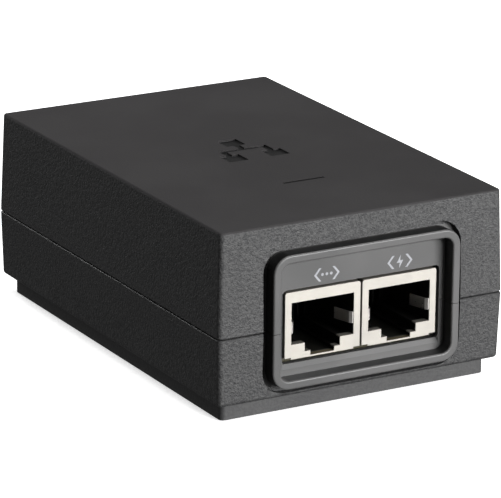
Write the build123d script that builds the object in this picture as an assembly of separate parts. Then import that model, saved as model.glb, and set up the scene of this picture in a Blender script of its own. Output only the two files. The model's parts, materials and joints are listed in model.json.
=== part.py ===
"""Desktop power-over-Ethernet injector: a two-shell mains brick with two network jacks at one end,
a mains inlet at the other, and a wall bracket that slides off its underside.

Frame: millimetres, +Z up, origin at the bottom centre of the whole object. The network jacks face
-Y, the mains inlet faces +Y and the width runs along X.
"""
import os

from build123d import *

# ---------------------------------------------------------------- driving dimensions: the case
CASE_WIDTH = 55.0
CASE_LENGTH = 81.0
CASE_BOTTOM = 3.05          # underside of the lower shell, above the bracket plate
SEAM_Z = 14.85              # plane where the two shells meet, the widest section
CASE_TOP = 33.1
SEAM_GAP = 0.10             # shadow gap between the shells' outer skins
WALL = 2.0
UPPER_DRAFT = 0.50          # how far each upper wall leans in from seam to top
LOWER_DRAFT = 0.30
CORNER_RADIUS = 0.8
TOP_EDGE_RADIUS = 0.45
BOTTOM_EDGE_RADIUS = 0.7
SEAM_CHAMFER = 0.25

# ---------------------------------------------------------------- the port end
RIM_PROUD = 1.5             # the rim stands this far out of the port face
RIM_WIDTH = 36.0
RIM_BOTTOM = 4.85
RIM_TOP = 28.15
RIM_RADIUS = 3.2
RIM_THICKNESS = 1.45
RIM_EDGE = 0.3
GROOVE_WIDTH = 1.1
GROOVE_DEPTH = 1.7
PANEL_DEPTH = 1.3           # label panel, behind the port face
PANEL_THICKNESS = 1.5
WINDOW_LEFT = -14.75
WINDOW_RIGHT = 15.6
WINDOW_BOTTOM = 8.2
WINDOW_TOP = 21.2
WINDOW_RADIUS = 0.8
LEDGE_BEVEL = (0.45, 0.95)  # bevel along the window's lower edge: depth and height

CASE_MID_Y = RIM_PROUD / 2  # centres the whole length, rim included, on the origin
FACE_Y = CASE_MID_Y - CASE_LENGTH / 2
BACK_Y = CASE_MID_Y + CASE_LENGTH / 2
PANEL_Y = FACE_Y + PANEL_DEPTH
PANEL_BACK_Y = PANEL_Y + PANEL_THICKNESS

# ---------------------------------------------------------------- screws, board and lip
BOSS_X = 22.0
BOSS_Y = (-29.0, 31.0)
BOSS_RADIUS = 3.6
UPPER_BOSS_RADIUS = 3.0
SCREW_RADIUS = 1.25
SCREW_HEAD_RADIUS = 2.5
SCREW_HEAD_SEAT = 5.8
SCREW_HEAD_HEIGHT = 1.8
SCREW_CROSS = (2.6, 0.6, 0.9)   # length, width and depth of the crossed recess
SCREW_TOP = 23.0
LIP_OUTSET = 1.1            # lip of the upper shell, measured in from the outer skin
LIP_THICKNESS = 0.75
LIP_DROP = 1.4
LIP_PLAY = 0.1              # clearance between the lip and the lower shell's rebate
BOARD_HALF_WIDTH = 24.6
BOARD_FRONT_Y = -36.4
BOARD_BACK_Y = 36.4
BOARD_BOTTOM = 7.3
BOARD_TOP = 8.9
POST_RADIUS = 2.0
PIN_RADIUS = 0.95           # locating pin on top of each board post
POST_PLACES = ((-20.6, -22.6), (20.6, -22.6), (-16.5, 32.0), (16.5, 32.0))

# ---------------------------------------------------------------- network jacks
JACK_X = 7.4                # centres of the two jacks, left and right of the middle
JACK_WIDTH = 14.4
JACK_FACE_Y = FACE_Y + 0.69
JACK_DEPTH = 16.5
JACK_BOTTOM = 9.25
JACK_TOP = 20.95
SHEET = 0.25                # thickness of the jack's plated sheet metal
LIP_LENGTH = 1.5            # how far the folded lips of the plug opening run back
PEG_Y = (6.0, 12.5)         # board pegs, from the jack's face
PEG_WIDTH = 1.6
FIT_GAP = 0.06              # clearance round the sprung leaves' roots
FOOT_NOTCH = (1.2, 0.3)     # width and height cut from each lower corner of the jack's face
PORT_WIDTH = 12.0
PORT_TOP = 19.1
PORT_FLOOR = 11.8           # floor of the plug space
STEP_WIDTH = 6.8
STEP_FLOOR = 10.3
LATCH_WIDTH = 4.6
PORT_DEPTH = 13.0
CONTACT_COUNT = 8
CONTACT_PITCH = 1.02
CONTACT_RADIUS = 0.2
CONTACT_FOLD = (JACK_FACE_Y + 3.0, PORT_TOP - 0.15)       # y and z of the bend at each wire's front
CONTACT_TIP = (JACK_FACE_Y + 10.4, 16.55)
CONTACT_UPTURN = (1.1, 0.5)                               # how far the tip's end runs on, back and up
SPRING_BOTTOM = 13.75
SPRING_TOP = 15.75
SPRING_BEND = 0.4           # how far a ground spring's first fold reaches, inwards and back
SPRING_REACH = (1.4, 3.65)  # how far its tip lies from its root, inwards and back
SPRING_SHEET = 0.2

# ---------------------------------------------------------------- mains inlet
INLET_Z = 19.0
INLET_WIDTH = 28.0
INLET_HEIGHT = 20.0
INLET_DEPTH = 20.0
CAVITY_WIDTH = 24.6
CAVITY_HEIGHT = 16.7
CAVITY_DEPTH = 16.5
CAVITY_CHAMFER = 4.5
PIN_PITCH = 14.0
PIN_OFFSET = 2.0            # line and neutral sit this far below the centre, earth above
PIN_THICKNESS = 2.0
PIN_HEIGHT = 4.0
PIN_RECESS = 1.5
PIN_TAIL = 0.8              # thickness of the strip that runs down to the board
PIN_REACH = 1.6             # how far each pin runs on behind the inlet body

# ---------------------------------------------------------------- wall bracket
BRACKET_SIDE_INSET = 1.85
BRACKET_FRONT_INSET = 2.35
BRACKET_BACK_INSET = 2.40
BRACKET_TOP = 2.85
BRACKET_PLATE = 1.6
BRACKET_SKIRT = 1.6
BRACKET_RADIUS = 0.9
BRACKET_EDGE = 0.35
BRACKET_TRAVEL = 8.0
HOOK_X = 14.0
HOOK_Y = (-24.0, 10.0)
HOOK_LENGTH = 6.0
HOOK_STEM = 2.0
HOOK_HEAD = 5.0
HOOK_HEAD_BOTTOM = 4.25
HOOK_HEAD_TOP = 5.2
SLOT_SIDE_PLAY = 0.3
SLOT_SKIN_TOP = 4.05
SLOT_ROOF = 5.5
SLOT_ROOF_WALL = 0.7
WALL_HOLE_SPACING = 50.0
WALL_HOLE_RADIUS = 2.1
WALL_HEAD_RADIUS = 3.9
WALL_BOSS_RADIUS = 5.4
RIB_THICKNESS = 1.4
RIB_BOTTOM = 0.2
CROSS_RIB_PITCH = 20.0

# ---------------------------------------------------------------- power circuit
# A PLACE is a component's centre on the board, a SIZE is its width, depth and height, a LIFT is the
# gap below it, and a PITCH is the distance between its legs.
STANDOFF = 0.1
LEG_END = BOARD_BOTTOM - 0.3
LEG_TOP = BOARD_TOP + 1.0   # where most legs end inside their component
FUSE_PLACE, FUSE_SIZE, FUSE_PITCH = (19.4, 24.0), (8.0, 4.0, 7.9), 5.0
VARISTOR_PLACE, VARISTOR_LIFT, VARISTOR_RADIUS = (16.5, 32.0), 7.0, 5.0
Y_CAPACITOR_PLACE, Y_CAPACITOR_LIFT, Y_CAPACITOR_RADIUS = (-16.5, 32.0), 6.6, 4.8
DISC_THICKNESS = 3.4
X_CAPACITOR_PLACE, X_CAPACITOR_SIZE, X_CAPACITOR_PITCH = (-19.5, 19.0), (9.0, 6.0, 12.9), 6.0
CHOKE_PLACE, CHOKE_SIZE, CHOKE_LIFT = (6.4, 14.0), (12.0, 5.2, 15.0), 1.5
CHOKE_LIMB = 3.1
CHOKE_YOKE = 3.0
CHOKE_COIL, CHOKE_COIL_RADIUS = (5.7, 9.0), 1.6
CHOKE_LEG_PITCH = 7.2
BRIDGE_PLACE, BRIDGE_SIZE, BRIDGE_LIFT, BRIDGE_PITCH = (21.05, 13.9), (3.5, 13.8, 10.5), 2.5, 3.6
BULK_PLACE, BULK_RADIUS, BULK_HEIGHT = (-7.4, 13.2), 5.4, 21.0
OUTPUT_PLACES, OUTPUT_RADIUS, OUTPUT_HEIGHT = ((-19.4, -16.2), (-19.4, -7.6)), 3.9, 14.0
CAN_EDGE = 0.6
VENT_WIDTH = 0.3
INDUCTOR_PLACE, INDUCTOR_RADIUS, INDUCTOR_HEIGHT, INDUCTOR_PITCH = (19.6, -14.6), 4.4, 10.0, 5.0
DRUM_FLANGE = 1.5
DRUM_STEP = 0.7
TRANSFORMER_PLACE, TRANSFORMER_SIZE, TRANSFORMER_LIFT = (0.0, -1.4), (20.0, 5.8, 16.0), 2.6
TRANSFORMER_LIMB = 6.0
TRANSFORMER_SIDE = 2.6
TRANSFORMER_YOKE = 2.7
BOBBIN_WALL = 0.8
BOBBIN_FLANGE = (14.4, 15.6)
BOBBIN_RAIL = (3.3, 7.8)    # the pin rails' near and far sides, from the bobbin's centre
BOBBIN_RAIL_HALF = 7.0
BOBBIN_PIN_PITCH = 5.0
WINDING_SIZE, WINDING_RADIUS = (14.2, 14.6), 2.5
HEATSINK_X = 12.9
HEATSINK_SHEET = 1.4
HEATSINK_FLANGE = 6.5
HEATSINK_HEIGHT = 18.5
HEATSINK_PEG_INSET = 2.0
OUTPUT_HEATSINK_X = -14.5
DEVICE_WIDTH, DEVICE_DEPTH, DEVICE_TAB = 10.0, 4.4, 1.35
DEVICE_LEVELS = (4.0, 12.6, 16.6)       # underside, body top and tab top, above the board
DEVICE_HOLE = 1.5
DEVICE_LEGS, DEVICE_PITCH = 2.6, 2.54
OPTO_PLACE, OPTO_SIZE, OPTO_LIFT = (-20.4, 13.0), (6.4, 4.4, 3.5), 0.5
OPTO_SPAN, OPTO_PITCH = 5.4, 2.4
CHIP_PLACE, CHIP_SIZE, CHIP_PITCH, CHIP_LEAD = (20.2, -6.6), (4.0, 5.0, 1.6), 1.27, 0.4
MAGNETICS_PLACE, MAGNETICS_SIZE = (9.6, -14.6), (10.8, 6.8, 5.4)

# ---------------------------------------------------------------- top of the case
EMBLEM_Y = 0.55 + CASE_MID_Y
EMBLEM_DEPTH = 0.9
EMBLEM_STROKE, EMBLEM_CELL = 1.2, 3.7
EMBLEM_REACH, EMBLEM_RISE = 4.1, 4.2      # from the emblem's middle to the cells' middles
EMBLEM_SUNK = 0.3           # how far the inlay lies below the top
LED_Y = -20.3 + CASE_MID_Y
LED_SLOT = (7.95, 0.62)


# ================================================================ helpers
def block(x0, x1, y0, y1, z0, z1):
    """Box between opposite corners."""
    centre = ((x0 + x1) / 2, (y0 + y1) / 2, (z0 + z1) / 2)
    return Pos(*centre) * Box(x1 - x0, y1 - y0, z1 - z0)


def post(x, y, radius, z0, z1):
    """Upright cylinder."""
    return Pos(x, y, (z0 + z1) / 2) * Cylinder(radius, z1 - z0)


def slab(sketch, y0, y1):
    """Extrude a sketch drawn in X and Z from y0 to y1."""
    plane = Plane(origin=(0, y1, 0), x_dir=(1, 0, 0), z_dir=(0, -1, 0))
    return extrude(plane * sketch, amount=y1 - y0)


def frame_sketch(half_width, z0, z1, radius):
    """Rounded rectangle in X and Z, centred on X."""
    return Pos(0, (z0 + z1) / 2) * RectangleRounded(2 * half_width, z1 - z0, radius)


def drafted(inset, z0, z1, inset0, inset1, radius):
    """Case-shaped block: its sides lie inset from the seam outline, plus inset0 at z0 and inset1 at z1."""
    sections = []
    for z, lean in ((z0, inset0), (z1, inset1)):
        width = CASE_WIDTH - 2 * (inset + lean)
        length = CASE_LENGTH - 2 * (inset + lean)
        sections.append(Pos(0, CASE_MID_Y, z) * RectangleRounded(width, length, radius))
    return loft(sections)


def boss_places():
    return [(side * BOSS_X, y) for y in BOSS_Y for side in (-1, 1)]


# ================================================================ the two shells
def upper_block():
    skin = SEAM_Z + SEAM_GAP
    body = drafted(0, skin + SEAM_CHAMFER, CASE_TOP, 0, UPPER_DRAFT, CORNER_RADIUS)
    body = fillet(body.faces().sort_by(Axis.Z)[-1].edges(), TOP_EDGE_RADIUS)
    return body + drafted(0, skin, skin + SEAM_CHAMFER, SEAM_CHAMFER, 0, CORNER_RADIUS)


def lower_block():
    bevel = SEAM_CHAMFER / 2
    body = drafted(0, CASE_BOTTOM, SEAM_Z - bevel, LOWER_DRAFT, 0, CORNER_RADIUS)
    body = fillet(body.faces().sort_by(Axis.Z)[0].edges(), BOTTOM_EDGE_RADIUS)
    return body + drafted(0, SEAM_Z - bevel, SEAM_Z, 0, bevel, CORNER_RADIUS)


def backing_limit():
    """Keeps the thickened wall behind the port end above the floor of the lower shell."""
    return Pos(0, CASE_TOP / 2 + CASE_BOTTOM + WALL / 2) * Rectangle(CASE_WIDTH, CASE_TOP)


def port_end(shell, z0, z1):
    """Add the rim, its groove, the label panel and the jack window to one shell, between z0 and z1."""
    keep = block(-CASE_WIDTH, CASE_WIDTH, -CASE_LENGTH, 0, z0, z1)
    half = RIM_WIDTH / 2
    inner = half - RIM_THICKNESS
    inner_radius = RIM_RADIUS - RIM_THICKNESS
    outer_rim = frame_sketch(half, RIM_BOTTOM, RIM_TOP, RIM_RADIUS)
    inner_rim = frame_sketch(inner, RIM_BOTTOM + RIM_THICKNESS, RIM_TOP - RIM_THICKNESS, inner_radius)
    groove = frame_sketch(half + GROOVE_WIDTH, RIM_BOTTOM - GROOVE_WIDTH, RIM_TOP + GROOVE_WIDTH,
                          RIM_RADIUS + GROOVE_WIDTH)
    window_middle = (WINDOW_LEFT + WINDOW_RIGHT) / 2
    window_half = (WINDOW_RIGHT - WINDOW_LEFT) / 2
    window = Pos(window_middle, 0) * frame_sketch(window_half, WINDOW_BOTTOM, WINDOW_TOP, WINDOW_RADIUS)
    backing = slab(groove & backing_limit(), FACE_Y + WALL / 2, PANEL_BACK_Y)
    rim = slab(outer_rim - inner_rim, FACE_Y - RIM_PROUD, PANEL_Y)
    front_edges = rim.faces().sort_by(Axis.Y)[0].edges()
    rim = fillet(front_edges, RIM_EDGE)
    shell = shell + (backing & keep)
    shell = shell - slab(groove - outer_rim, FACE_Y - RIM_PROUD, FACE_Y + GROOVE_DEPTH)
    shell = shell - slab(inner_rim, FACE_Y - RIM_PROUD, PANEL_Y)
    shell = shell + (rim & keep)
    shell = shell - slab(window, FACE_Y - RIM_PROUD, PANEL_BACK_Y + 1)
    return shell - (ledge_wedge() & keep)


def ledge_wedge():
    """Wedge cut from the band below the jacks, so that its upper part leans back."""
    depth, height = LEDGE_BEVEL
    corners = [(PANEL_Y - 0.1, WINDOW_BOTTOM - height), (PANEL_Y + depth, WINDOW_BOTTOM),
               (PANEL_Y + depth, WINDOW_BOTTOM + 0.1), (PANEL_Y - 0.1, WINDOW_BOTTOM + 0.1)]
    side = Plane(origin=(WINDOW_LEFT, 0, 0), x_dir=(0, 1, 0), z_dir=(1, 0, 0))
    return extrude(side * make_face(Polyline(*corners, close=True)), amount=WINDOW_RIGHT - WINDOW_LEFT)


def inlet_cutout():
    opening = Pos(0, INLET_Z) * RectangleRounded(INLET_WIDTH + 0.3, INLET_HEIGHT + 0.3, 2.1)
    return slab(opening, BACK_Y - 2 * WALL, BACK_Y + 1)


def emblem_outline():
    """Generic network sign: one box above, joined by a tree line to two boxes below."""
    stroke, cell = EMBLEM_STROKE, EMBLEM_CELL
    reach, rise = EMBLEM_REACH, EMBLEM_RISE
    sign = Pos(0, rise) * Rectangle(cell, cell)
    for side in (-1, 1):
        sign += Pos(side * reach, -rise) * Rectangle(cell, cell)
        sign += Pos(side * reach, -rise / 2) * Rectangle(stroke, rise)
    sign += Rectangle(2 * reach + stroke, stroke)
    sign += Pos(0, rise / 2) * Rectangle(stroke, rise)
    return sign


def emblem_solid(z0, z1):
    return extrude(Pos(0, EMBLEM_Y, z0) * emblem_outline(), amount=z1 - z0)


def make_upper_case():
    """Upper shell with its screw bosses, locating lip, emblem recess and light slot."""
    skin = SEAM_Z + SEAM_GAP
    shell = upper_block()
    shell -= drafted(WALL, skin - 1, CASE_TOP - WALL, 0, UPPER_DRAFT, 0.5)
    ceiling = CASE_TOP - WALL / 2
    for x, y in boss_places():
        shell += post(x, y, UPPER_BOSS_RADIUS, SEAM_Z, ceiling)
        shell -= post(x, y, SCREW_RADIUS, SEAM_Z - 1, SCREW_TOP + 1)
    shell += locating_lip()
    shell = port_end(shell, skin, CASE_TOP)
    shell -= inlet_cutout()
    shell -= emblem_solid(CASE_TOP - EMBLEM_DEPTH, CASE_TOP + 1)
    slot = LED_SLOT
    return shell - block(-slot[0] / 2, slot[0] / 2, LED_Y - slot[1] / 2, LED_Y + slot[1] / 2,
                         CASE_TOP - 2 * WALL, CASE_TOP + 1)


def locating_lip():
    """Tongue below the upper shell's edge, inside the lower shell's wall, broken at both end openings."""
    def outline(inset):
        return RectangleRounded(CASE_WIDTH - 2 * inset, CASE_LENGTH - 2 * inset, 0.4)
    ring = outline(LIP_OUTSET) - outline(LIP_OUTSET + LIP_THICKNESS)
    ring = extrude(Pos(0, CASE_MID_Y, SEAM_Z - LIP_DROP) * ring, amount=LIP_DROP + 3 * SEAM_GAP)
    front_gap = RIM_WIDTH / 2 + GROOVE_WIDTH + 0.4
    back_gap = INLET_WIDTH / 2 + 0.8
    ring -= block(-front_gap, front_gap, FACE_Y, 0, 0, CASE_TOP)
    return ring - block(-back_gap, back_gap, 0, BACK_Y, 0, CASE_TOP)


def hook_slot(x, y):
    """Space for one bracket hook: a narrow slot, its head space, and the wide mouth at the +Y end."""
    play = SLOT_SIDE_PLAY
    stem = HOOK_STEM / 2 + play
    head = HOOK_HEAD / 2 + play
    start = y - HOOK_LENGTH / 2 - play
    end = y + HOOK_LENGTH / 2 + BRACKET_TRAVEL + play
    mouth = end - HOOK_LENGTH - 2 * play
    slot = block(x - stem, x + stem, start, end, CASE_BOTTOM - 1, SLOT_ROOF)
    slot += block(x - head, x + head, start, end, SLOT_SKIN_TOP, SLOT_ROOF)
    return slot + block(x - head, x + head, mouth, end, CASE_BOTTOM - 1, SLOT_ROOF)


def hook_places():
    return [(side * HOOK_X, y) for y in HOOK_Y for side in (-1, 1)]


def make_lower_case():
    """Lower shell with screw bosses, board posts and roofed slots for the bracket's hooks."""
    shell = lower_block()
    shell -= drafted(WALL, CASE_BOTTOM + WALL, SEAM_Z + 1, LOWER_DRAFT, 0, 0.5)
    inner = LIP_OUTSET - LIP_PLAY
    rebate = RectangleRounded(CASE_WIDTH - 2 * inner, CASE_LENGTH - 2 * inner, 0.5)
    shell -= extrude(Pos(0, CASE_MID_Y, SEAM_Z - LIP_DROP - 0.15) * rebate, amount=LIP_DROP + 1)
    for x, y in boss_places():
        shell += post(x, y, BOSS_RADIUS, CASE_BOTTOM + WALL / 2, SEAM_Z - LIP_DROP - 0.2)
        shell += post(x, y, UPPER_BOSS_RADIUS, SEAM_Z - 2 * LIP_DROP, SEAM_Z)
    for x, y in hook_places():
        roof = hook_slot(x, y).bounding_box()
        shell += block(roof.min.X - 1, roof.max.X + 1, roof.min.Y - 1, roof.max.Y + 1,
                       CASE_BOTTOM + WALL / 2, SLOT_ROOF + SLOT_ROOF_WALL)
    for x, y in boss_places():
        shell -= post(x, y, SCREW_HEAD_RADIUS + 0.3, CASE_BOTTOM - 1, SCREW_HEAD_SEAT)
        shell -= post(x, y, SCREW_RADIUS + 0.35, SCREW_HEAD_SEAT - 1, SEAM_Z + 1)
    for x, y in POST_PLACES:
        shell += post(x, y, POST_RADIUS, CASE_BOTTOM + WALL / 2, BOARD_BOTTOM)
        shell += post(x, y, PIN_RADIUS, BOARD_BOTTOM - 1, BOARD_TOP + 0.6)
    shell = port_end(shell, CASE_BOTTOM + 0.5, SEAM_Z)
    shell -= inlet_cutout()
    for x, y in hook_places():
        shell -= hook_slot(x, y)
    return shell


def make_case_screws():
    """Four self-tapping screws with crossed recesses, driven up from the underside."""
    screws = []
    for x, y in boss_places():
        head_bottom = SCREW_HEAD_SEAT - SCREW_HEAD_HEIGHT
        screw = post(x, y, SCREW_HEAD_RADIUS, head_bottom, SCREW_HEAD_SEAT)
        screw = fillet(screw.edges().group_by(Axis.Z)[0], 0.5)
        screw += post(x, y, SCREW_RADIUS - 0.02, SCREW_HEAD_SEAT - 0.2, SCREW_TOP)
        long, narrow, deep = SCREW_CROSS
        for length, width in ((long, narrow), (narrow, long)):
            screw -= block(x - length / 2, x + length / 2, y - width / 2, y + width / 2,
                           head_bottom - 1, head_bottom + deep)
        screws.append(screw)
    return Compound(children=screws)


# ================================================================ wall bracket
def make_wall_bracket():
    """Plate with a skirt, ribs, two countersunk wall holes and four T-shaped hooks."""
    half = CASE_WIDTH / 2 - BRACKET_SIDE_INSET
    y0 = FACE_Y + BRACKET_FRONT_INSET
    y1 = BACK_Y - BRACKET_BACK_INSET
    mid = (y0 + y1) / 2
    outline = Pos(0, mid) * RectangleRounded(2 * half, y1 - y0, BRACKET_RADIUS)
    body = extrude(outline, amount=BRACKET_TOP)
    body = chamfer(body.faces().sort_by(Axis.Z)[-1].edges(), BRACKET_EDGE)
    hollow = Pos(0, mid) * RectangleRounded(2 * (half - BRACKET_SKIRT), y1 - y0 - 2 * BRACKET_SKIRT, 0.8)
    body -= extrude(hollow, amount=BRACKET_TOP - BRACKET_PLATE)
    rib = RIB_THICKNESS / 2
    for x in (-HOOK_X / 2, HOOK_X / 2):
        body += block(x - rib, x + rib, y0 + 1, y1 - 1, RIB_BOTTOM, BRACKET_TOP - 0.5)
    for step in (-1, 0, 1):
        y = mid + step * CROSS_RIB_PITCH
        body += block(-half + 1, half - 1, y - rib, y + rib, RIB_BOTTOM, BRACKET_TOP - 0.5)
    for side in (-1, 1):
        y = mid + side * WALL_HOLE_SPACING / 2
        body += post(0, y, WALL_BOSS_RADIUS, 0, BRACKET_TOP - 0.5)
        body -= post(0, y, WALL_HOLE_RADIUS, -1, BRACKET_TOP + 1)
        depth = WALL_HEAD_RADIUS - WALL_HOLE_RADIUS
        sink = Cone(WALL_HOLE_RADIUS, WALL_HEAD_RADIUS, depth)
        body -= Pos(0, y, BRACKET_TOP - depth / 2) * sink
    for x, y in hook_places():
        stem = HOOK_STEM / 2
        head = HOOK_HEAD / 2
        ends = (y - HOOK_LENGTH / 2, y + HOOK_LENGTH / 2)
        body += block(x - stem, x + stem, *ends, BRACKET_TOP - 0.5, HOOK_HEAD_TOP)
        body += block(x - head, x + head, *ends, HOOK_HEAD_BOTTOM, HOOK_HEAD_TOP)
    return body


# ================================================================ trim on top
def make_top_emblem():
    """Glossy inlay that lies in the recess in the top, a little below flush."""
    return emblem_solid(CASE_TOP - EMBLEM_DEPTH, CASE_TOP - EMBLEM_SUNK)


def make_led_light_pipe():
    """Tinted bar in the top slot that widens into a stem over the status light."""
    width = LED_SLOT[0] - 0.06
    depth = LED_SLOT[1] - 0.06
    ceiling = CASE_TOP - WALL
    bar = block(-width / 2, width / 2, LED_Y - depth / 2, LED_Y + depth / 2,
                ceiling - 0.5, CASE_TOP - 0.02)
    top = Pos(0, LED_Y, ceiling - 0.15) * RectangleRounded(width + 1, 1.6, 0.3)
    foot = Pos(0, LED_Y, BOARD_TOP + 2.2) * RectangleRounded(3.6, 1.6, 0.3)
    return bar + loft([foot, top])


def make_status_led():
    body = block(-1.6, 1.6, LED_Y - 0.8, LED_Y + 0.8, BOARD_TOP, BOARD_TOP + 0.6)
    lens = block(-1.1, 1.1, LED_Y - 0.7, LED_Y + 0.7, BOARD_TOP + 0.5, BOARD_TOP + 1.3)
    return body + fillet(lens.edges().group_by(Axis.Z)[-1], 0.25)


# ================================================================ circuit board
def make_main_board(mounted):
    """Board notched round the bosses, with holes for the posts and for every leg that goes through it."""
    board = block(-BOARD_HALF_WIDTH, BOARD_HALF_WIDTH, BOARD_FRONT_Y, BOARD_BACK_Y, BOARD_BOTTOM, BOARD_TOP)
    for x, y in boss_places():
        board -= post(x, y, BOSS_RADIUS + 0.4, 0, CASE_TOP)
    for x, y in POST_PLACES:
        board -= post(x, y, PIN_RADIUS + 0.1, 0, CASE_TOP)
    for component in mounted:
        board -= component
    return board


def make_insulation_sheet():
    """Insulating film under the board, cut out round the bosses and posts."""
    half = BOARD_HALF_WIDTH - 0.6
    sheet = block(-half, half, BOARD_FRONT_Y + 0.6, BOARD_BACK_Y - 0.6, 6.45, 6.7)
    for x, y in boss_places():
        sheet -= post(x, y, BOSS_RADIUS + 0.3, 0, CASE_TOP)
    for x, y in POST_PLACES:
        sheet -= post(x, y, POST_RADIUS + 0.3, 0, CASE_TOP)
    return sheet


# ================================================================ network jacks
def port_sketch(grow=0.0):
    """Tab-down plug opening about X = 0: plug space, step and latch notch."""
    shape = Rectangle(0.1, 0.1)
    levels = ((PORT_WIDTH, PORT_FLOOR), (STEP_WIDTH, STEP_FLOOR), (LATCH_WIDTH, JACK_BOTTOM + SHEET))
    shape = Pos(0, PORT_TOP - 1) * shape
    for width, floor in levels:
        bottom = floor - grow
        height = PORT_TOP + grow - bottom
        shape += Pos(0, bottom + height / 2) * Rectangle(width + 2 * grow, height)
    return shape


def make_jack_shield(x):
    """Folded sheet-metal can: four sides, a back, and a face with the plug opening and inward lips."""
    half = JACK_WIDTH / 2
    y0 = JACK_FACE_Y
    y1 = JACK_FACE_Y + JACK_DEPTH
    can = block(-half, half, y0, y1, JACK_BOTTOM, JACK_TOP)
    can = fillet(can.edges().filter_by(Axis.Y), 0.4)
    can -= block(-half + SHEET, half - SHEET, y0 + SHEET, y1 - SHEET, JACK_BOTTOM + SHEET, JACK_TOP - SHEET)
    can -= slab(port_sketch(), y0 - 1, y0 + 1)
    tails = CONTACT_COUNT * CONTACT_PITCH / 2 + 0.2
    can -= block(-tails, tails, y1 - 2.6, y1 - 1.4, JACK_BOTTOM - 1, JACK_BOTTOM + 2 * SHEET)
    for side in (-1, 1):
        inner = side * STEP_WIDTH / 2
        outer = side * PORT_WIDTH / 2
        x0, x1 = sorted((inner, outer))
        can += block(x0, x1, y0 + SHEET / 2, y0 + LIP_LENGTH, PORT_FLOOR - SHEET, PORT_FLOOR)
        inner = side * LATCH_WIDTH / 2
        outer = side * STEP_WIDTH / 2
        x0, x1 = sorted((inner, outer))
        can += block(x0, x1, y0 + SHEET / 2, y0 + LIP_LENGTH, STEP_FLOOR - SHEET, STEP_FLOOR)
        x0, x1 = sorted((side * (half - FOOT_NOTCH[0]), side * (half + 1)))
        can -= block(x0, x1, y0 - 1, y0 + 2.0, JACK_BOTTOM - 1, JACK_BOTTOM + FOOT_NOTCH[1])
        x0, x1 = sorted((side * half, side * (half - SHEET)))
        for back in PEG_Y:
            y = y0 + back
            can += block(x0, x1, y - PEG_WIDTH / 2, y + PEG_WIDTH / 2, LEG_END, JACK_BOTTOM + 0.5)
    return Pos(x, 0, 0) * can


def make_jack_housing(x):
    """Moulded insulator inside the can, with the plug space, contact channel and spring windows."""
    half = JACK_WIDTH / 2 - SHEET - 0.1
    y0 = JACK_FACE_Y + SHEET + 0.1
    y1 = JACK_FACE_Y + JACK_DEPTH - SHEET - 0.1
    body = block(-half, half, y0, y1, JACK_BOTTOM + SHEET + 0.1, JACK_TOP - SHEET - 0.1)
    body -= slab(port_sketch(0.3), y0 - 1, y0 + PORT_DEPTH)
    channel = CONTACT_COUNT * CONTACT_PITCH / 2 + 0.2
    body -= block(-channel, channel, y0 + 1.6, y1 - 1.0, PORT_TOP - 2, JACK_TOP - SHEET - 0.4)
    body -= block(-channel, channel, y1 - 3.0, y1 - 1.0, JACK_BOTTOM, JACK_TOP - SHEET - 0.4)
    reach = SPRING_REACH[1] + 1.0
    body -= block(-half - 1, half + 1, y0 - 1, y0 + reach, SPRING_BOTTOM - 0.3, SPRING_TOP + 0.3)
    return Pos(x, 0, 0) * body


def rod(start, end, radius):
    """Round bar between two points."""
    along = Vector(*end) - Vector(*start)
    plane = Plane(origin=start, z_dir=along)
    return extrude(plane * Circle(radius), amount=along.length)


def contact_offsets(x):
    middle = (CONTACT_COUNT - 1) / 2
    return [x + (index - middle) * CONTACT_PITCH for index in range(CONTACT_COUNT)]


def make_contact_wires(x):
    """The jack's sprung wires, which a plug pushes up: a straight slope and an upturned tip."""
    wires = []
    for wire_x in contact_offsets(x):
        fold = (wire_x, *CONTACT_FOLD)
        tip = (wire_x, *CONTACT_TIP)
        end = (wire_x, CONTACT_TIP[0] + CONTACT_UPTURN[0], CONTACT_TIP[1] + CONTACT_UPTURN[1])
        wire = rod(fold, tip, CONTACT_RADIUS) + Pos(*tip) * Sphere(CONTACT_RADIUS)
        wires.append(wire + rod(tip, end, CONTACT_RADIUS))
    return Compound(children=wires)


def make_contact_block(x):
    """Fixed insert over the wires, with the fixed wire tails that run back and down to the board."""
    y1 = JACK_FACE_Y + JACK_DEPTH - SHEET - 0.1
    channel = CONTACT_COUNT * CONTACT_PITCH / 2
    top = JACK_TOP - SHEET - 0.5
    front = CONTACT_FOLD[0] - 0.6
    insert = block(x - channel, x + channel, front, y1 - 1.2, top - 0.6, top)
    for wire_x in contact_offsets(x):
        insert += block(wire_x - CONTACT_RADIUS, wire_x + CONTACT_RADIUS,
                        y1 - 1.9, y1 - 1.5, LEG_END, top - 0.3)
    return insert


def make_ground_spring(x, side):
    """Leaf folded back from the edge of the plug opening into the plug space, on one side."""
    root = (x + side * (PORT_WIDTH / 2 - FIT_GAP), JACK_FACE_Y + FIT_GAP)
    outer = [(0, 0), (SPRING_BEND, SPRING_BEND), SPRING_REACH]
    inner = [(inwards + SPRING_SHEET, back) for inwards, back in reversed(outer)]
    corners = [(root[0] - side * inwards, root[1] + back) for inwards, back in outer + inner]
    leaf = make_face(Polyline(*corners, close=True))
    return extrude(Pos(0, 0, SPRING_BOTTOM) * leaf, amount=SPRING_TOP - SPRING_BOTTOM)


# ================================================================ mains inlet
def inlet_profile(width, height, cut):
    """Inlet outline about its centre, with both upper corners cut off."""
    shape = Rectangle(width, height)
    corners = shape.vertices().group_by(Axis.Y)[-1]
    return Pos(0, INLET_Z) * chamfer(corners, cut)


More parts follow.
